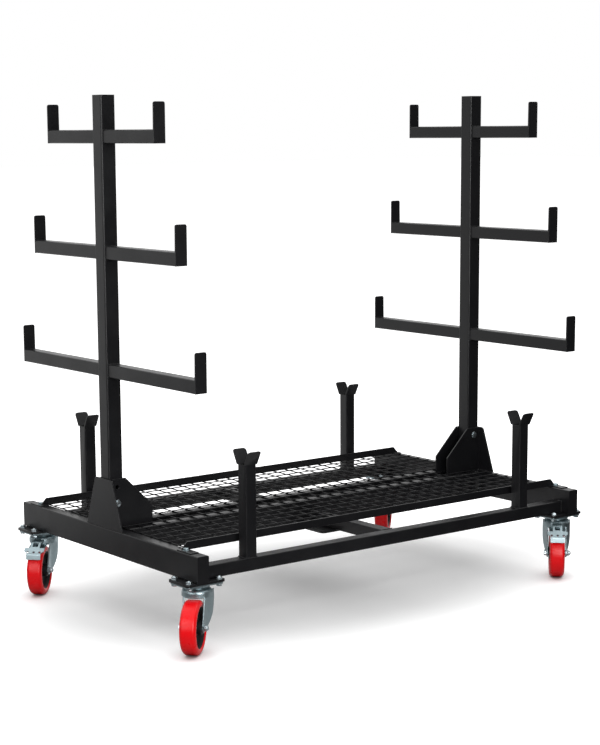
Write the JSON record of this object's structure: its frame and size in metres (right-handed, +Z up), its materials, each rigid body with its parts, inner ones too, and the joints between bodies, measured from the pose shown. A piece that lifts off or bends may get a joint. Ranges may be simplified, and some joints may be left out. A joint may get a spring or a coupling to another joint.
{
  "type": "long material cart",
  "caption": "Welded steel cart with a wire mesh deck, a mast with stepped arms at each end, V posts along the sides and swivel castors, for long pipe and bar.",
  "frame": {"origin": "centre of the footprint on the floor, with the castors as parked", "axes": "+X along the cart from the left end to the right end, +Y from the front to the rear, +Z up"},
  "size_m": [1.6564, 1.0528, 1.595],
  "materials": {
    "black_powder_coat": "satin black powder coat",
    "zinc_plate": "bright zinc plate with a blue passivate",
    "polyurethane_tyre": "moulded polyurethane with a slight gloss",
    "nylon_hub": "moulded black nylon"
  },
  "bodies": {
    "root": {"left_end_beam": "black_powder_coat", "right_end_beam": "black_powder_coat", "front_long_rail": "black_powder_coat", "rear_long_rail": "black_powder_coat", "front_spine": "black_powder_coat", "rear_spine": "black_powder_coat", "front_crossmember": "black_powder_coat", "rear_crossmember": "black_powder_coat", "centre_tie_plate": "black_powder_coat", "deck_mesh": "black_powder_coat", "front_deck_lip": "black_powder_coat", "rear_deck_lip": "black_powder_coat", "left_mast": "black_powder_coat", "left_mast_socket": "black_powder_coat", "left_mast_bolt": "zinc_plate", "left_front_low_arm": "black_powder_coat", "left_front_middle_arm": "black_powder_coat", "left_front_top_arm": "black_powder_coat", "left_rear_low_arm": "black_powder_coat", "left_rear_middle_arm": "black_powder_coat", "left_rear_top_arm": "black_powder_coat", "right_mast": "black_powder_coat", "right_mast_socket": "black_powder_coat", "right_mast_bolt": "zinc_plate", "right_front_low_arm": "black_powder_coat", "right_front_middle_arm": "black_powder_coat", "right_front_top_arm": "black_powder_coat", "right_rear_low_arm": "black_powder_coat", "right_rear_middle_arm": "black_powder_coat", "right_rear_top_arm": "black_powder_coat", "front_left_v_post": "black_powder_coat", "front_left_castor_pad": "black_powder_coat", "front_left_castor_plate": "zinc_plate", "rear_left_v_post": "black_powder_coat", "rear_left_castor_pad": "black_powder_coat", "rear_left_castor_plate": "zinc_plate", "front_right_v_post": "black_powder_coat", "front_right_castor_pad": "black_powder_coat", "front_right_castor_plate": "zinc_plate", "rear_right_v_post": "black_powder_coat", "rear_right_castor_pad": "black_powder_coat", "rear_right_castor_plate": "zinc_plate"},
    "front_left_swivel": {"front_left_fork": "zinc_plate", "front_left_axle": "zinc_plate"},
    "front_left_wheel": {"front_left_tyre": "polyurethane_tyre", "front_left_hub": "nylon_hub"},
    "rear_left_swivel": {"rear_left_fork": "zinc_plate", "rear_left_axle": "zinc_plate"},
    "rear_left_wheel": {"rear_left_tyre": "polyurethane_tyre", "rear_left_hub": "nylon_hub"},
    "rear_left_brake": {"rear_left_brake_pedal": "zinc_plate"},
    "front_right_swivel": {"front_right_fork": "zinc_plate", "front_right_axle": "zinc_plate"},
    "front_right_wheel": {"front_right_tyre": "polyurethane_tyre", "front_right_hub": "nylon_hub"},
    "front_right_brake": {"front_right_brake_pedal": "zinc_plate"},
    "rear_right_swivel": {"rear_right_fork": "zinc_plate", "rear_right_axle": "zinc_plate"},
    "rear_right_wheel": {"rear_right_tyre": "polyurethane_tyre", "rear_right_hub": "nylon_hub"}
  },
  "joints": [
    {"name": "front_left_castor_swivel", "type": "hinge", "parent": "root", "child": "front_left_swivel", "pos_m": [-0.71632, -0.41525, 0.189], "axis": [0, 0, 1], "continuous": true},
    {"name": "front_left_wheel_roll", "type": "hinge", "parent": "front_left_swivel", "child": "front_left_wheel", "pos_m": [-0.75621, -0.45091, 0.08], "axis": [0.6665, -0.7455, 0], "continuous": true},
    {"name": "rear_left_castor_swivel", "type": "hinge", "parent": "root", "child": "rear_left_swivel", "pos_m": [-0.71632, 0.46805, 0.189], "axis": [0, 0, 1], "continuous": true},
    {"name": "rear_left_wheel_roll", "type": "hinge", "parent": "rear_left_swivel", "child": "rear_left_wheel", "pos_m": [-0.75396, 0.43002, 0.08], "axis": [0.7108, -0.7034, 0], "continuous": true},
    {"name": "rear_left_brake_lift", "type": "hinge", "parent": "rear_left_swivel", "child": "rear_left_brake", "pos_m": [-0.75149, 0.43251, 0.1755], "axis": [-0.7108, 0.7034, 0], "range_deg": [0, 15]},
    {"name": "front_right_castor_swivel", "type": "hinge", "parent": "root", "child": "front_right_swivel", "pos_m": [0.76068, -0.41525, 0.189], "axis": [0, 0, 1], "continuous": true},
    {"name": "front_right_wheel_roll", "type": "hinge", "parent": "front_right_swivel", "child": "front_right_wheel", "pos_m": [0.72345, -0.45367, 0.08], "axis": [0.7181, -0.6959, 0], "continuous": true},
    {"name": "front_right_brake_lift", "type": "hinge", "parent": "front_right_swivel", "child": "front_right_brake", "pos_m": [0.72588, -0.45116, 0.1755], "axis": [-0.7181, 0.6959, 0], "range_deg": [0, 15]},
    {"name": "rear_right_castor_swivel", "type": "hinge", "parent": "root", "child": "rear_right_swivel", "pos_m": [0.76068, 0.46805, 0.189], "axis": [0, 0, 1], "continuous": true},
    {"name": "rear_right_wheel_roll", "type": "hinge", "parent": "rear_right_swivel", "child": "rear_right_wheel", "pos_m": [0.72092, 0.43225, 0.08], "axis": [0.6691, -0.7431, 0], "continuous": true}
  ]
}
